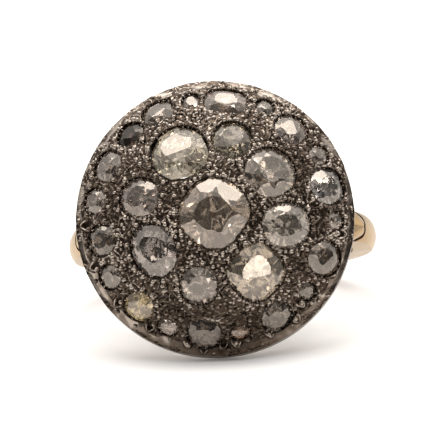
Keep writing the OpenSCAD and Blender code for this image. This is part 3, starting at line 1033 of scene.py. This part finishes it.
class Beads:
    """A growing mesh of small uneven grains."""

    def __init__(self):
        self.ball, self.ball_faces = ball(6, 10)
        self.points, self.faces, self.tones = [], [], []

    def add(self, bead, centre, along, upright, painted_light=0.0):
        """One grain of a kind about a centre."""
        side = np.cross(upright, along)
        long, wide, high = rng.uniform(bead.least, bead.most)
        lumpy = self.ball * (1 + rng.normal(0, bead.lumps, (len(self.ball), 1)))
        moved = lumpy[:, :1] * long * along + lumpy[:, 1:2] * wide * side + lumpy[:, 2:] * high * upright
        base = len(self.points) * len(self.ball)
        self.points.append(centre + moved + [0, 0, DOME_Z])
        self.faces.extend([[base + v for v in face] for face in self.ball_faces])
        tone = bead.tone + bead.contrast * self.ball[:, 2] + painted_light + rng.uniform(*bead.drift)
        self.tones.append(np.clip(tone, 0.1, 1))


def bead_stone_edges(beads, seats):
    """The grains pushed over the stones' edges."""
    for seat in seats:
        for place, along in seat.edge_places(*EDGE_BEAD_PLACES):
            beads.add(EDGE_BEAD, seat.point(*place, seat.girdle_top), along, seat.normal)


def bead_dome(beads, seats):
    """Loose grains between the stones, most of them on the dome's upper part, paler upward as painted light.
    """
    for direction in scatter(LOOSE_GRAINS, seats):
        up = direction[1] * DOME_R / HEAD_R
        reach = math.hypot(direction[0], direction[1]) * DOME_R
        if rng.random() > (LOOSE_KEPT_ABOVE if up > 0.35 and reach > 5 else LOOSE_KEPT):
            continue
        along = any_tangent(direction)
        beads.add(LOOSE_BEAD, direction * (DOME_R + 0.05), along, direction, LOOSE_PAINTED_LIGHT * up)


def bead_rim(beads):
    """Grains along the rim, close at the top and sparse at the bottom."""
    for turn in np.radians(np.concatenate([np.arange(*turns) for turns in RIM_BEAD_TURNS])):
        if rng.random() < RIM_BEADS_SKIPPED:
            continue
        turn += rng.normal(0, RIM_BEAD_SPREAD)
        direction = at_turn(turn, rng.uniform(*RIM_BEAD_REACH))
        beads.add(RIM_BEAD, direction * (DOME_R - 0.04), flat_way(turn), direction)


def holding_grains(seats, silver):
    """The grains over the stones' edges, the loose ones on the dome and those at the rim, in one mesh."""
    beads = Beads()
    bead_stone_edges(beads, seats)
    bead_dome(beads, seats)
    bead_rim(beads)
    grains = add_mesh("holding_grains", to_world(np.concatenate(beads.points)), beads.faces)
    store_tone_and_painted_light(grains, np.concatenate(beads.tones))
    grains.data.materials.append(silver)
    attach(grains, "root")


# Stage, light and camera


def make_floor():
    corners = np.array([[-1, -1, 0], [1, -1, 0], [1, 1, 0], [-1, 1, 0]]) * FLOOR_HALF_W
    floor = add_mesh("floor", corners, [[0, 1, 2, 3]], smooth=False)
    floor.data.materials.append(pale_floor())


def view_way(azimuth, elevation):
    """The direction toward a viewer at an azimuth (0 from the front, + to the right) and an elevation."""
    a, e = math.radians(azimuth), math.radians(elevation)
    return Vector((math.sin(a) * math.cos(e), -math.cos(a) * math.cos(e), math.sin(e)))


def softbox(name, azimuth, elevation, distance_mm, size_mm, radiance, shape):
    """A soft light that shines at the head."""
    way = view_way(azimuth, elevation)
    data = bpy.data.lights.new(name, "AREA")
    data.shape = shape
    data.size, data.size_y = size_mm[0] * MM, size_mm[1] * MM
    data.color = LIGHT_COLOUR
    data.energy = radiance * math.pi * data.size * data.size_y * (1 if shape == "RECTANGLE" else math.pi / 4)
    light = bpy.data.objects.new(name, data)
    bpy.context.scene.collection.objects.link(light)
    light.location = Vector((0, 0, LIGHTS_AIM_Z * MM)) + way * distance_mm * MM
    light.rotation_euler = (-way).to_track_quat("-Z", "Y").to_euler()


def grey_stops(stops):
    return [(place, grey(value)) for place, value in stops]


def make_world():
    """A white tent: bright above and behind, dim in front where the camera stands; it looks plain white."""
    world = bpy.data.worlds.new("studio")
    bpy.context.scene.world = world
    world.use_nodes = True
    nodes, links = world.node_tree.nodes, world.node_tree.links
    coords = nodes.new("ShaderNodeTexCoord")
    split = nodes.new("ShaderNodeSeparateXYZ")
    links.new(coords.outputs["Generated"], split.inputs[0])
    share, first, second, light = colour_mix(nodes, "ADD")
    share.default_value = 1
    depth = multiply_add(nodes, links, split.outputs["Y"], 0.5, 0.5)
    drive(nodes, links, depth, grey_stops(TENT_FRONT_TO_BACK), first)
    drive(nodes, links, split.outputs["Z"], grey_stops(TENT_ABOVE), second)
    rays = nodes.new("ShaderNodeLightPath")
    seen, unseen_colour, seen_colour, colour = colour_mix(nodes)
    links.new(rays.outputs["Is Camera Ray"], seen)
    links.new(light, unseen_colour)
    seen_colour.default_value = (1, 1, 1, 1)
    links.new(colour, nodes["Background"].inputs["Color"])


def make_camera():
    """The photograph's view: from the front, a little to the right and above, with a slight roll."""
    roll = math.radians(VIEW_ROLL)
    back = view_way(VIEW_AZIMUTH, VIEW_ELEVATION)
    level = view_way(VIEW_AZIMUTH + 90, 0)
    upright = back.cross(level)
    right = level * math.cos(roll) + upright * math.sin(roll)
    up = upright * math.cos(roll) - level * math.sin(roll)
    data = bpy.data.cameras.new("camera")
    data.sensor_width = VIEW_SENSOR
    data.lens = data.sensor_width * VIEW_DISTANCE / VIEW_WIDTH
    data.shift_x = (FRAME_PX / 2 - HEAD_CENTRE_PX[0]) / FRAME_PX
    data.shift_y = (HEAD_CENTRE_PX[1] - FRAME_PX / 2) / FRAME_PX
    data.clip_start, data.clip_end = VIEW_RANGE
    camera = bpy.data.objects.new("camera", data)
    bpy.context.scene.collection.objects.link(camera)
    target = Vector(to_world(np.array([[0, 0, VIEW_TARGET_Z]]))[0])
    turn = Matrix((right, up, back)).transposed().to_4x4()
    camera.matrix_world = Matrix.Translation(target + back * VIEW_DISTANCE * MM) @ turn
    bpy.context.scene.camera = camera


def dress(node, material):
    """Gives a CAD node that stays in sight its material."""
    frame["nodes"][node].data.materials.clear()
    frame["nodes"][node].data.materials.append(material)


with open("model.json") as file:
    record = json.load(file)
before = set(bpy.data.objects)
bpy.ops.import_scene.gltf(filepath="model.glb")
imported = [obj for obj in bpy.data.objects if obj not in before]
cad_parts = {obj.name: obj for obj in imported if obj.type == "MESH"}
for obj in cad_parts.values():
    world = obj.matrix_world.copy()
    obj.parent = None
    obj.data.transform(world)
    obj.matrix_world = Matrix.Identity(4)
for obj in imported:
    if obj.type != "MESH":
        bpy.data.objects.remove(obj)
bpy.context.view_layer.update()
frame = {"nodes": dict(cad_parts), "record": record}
hoop_centre, axes = ring_axes()

make_camera()
make_world()
make_floor()
for light_name, light_row in LIGHTS.items():
    softbox(light_name, *light_row)

stone_seats = [Seat(name) for name in frame["nodes"] if name.startswith("stone")]
dome_silver = carved_silver()
carved_skin(stone_seats, dome_silver)
holding_grains(stone_seats, dome_silver)
for stone_seat in stone_seats:
    cut_stone(stone_seat, STONE_LOOKS.get(stone_seat.name, PLAIN_STONE))
inclusions(stone_seats)
dress("silver_head", satin_silver())
dress("gold_shank", worn_gold())

bpy.context.scene.view_settings.view_transform = "Standard"
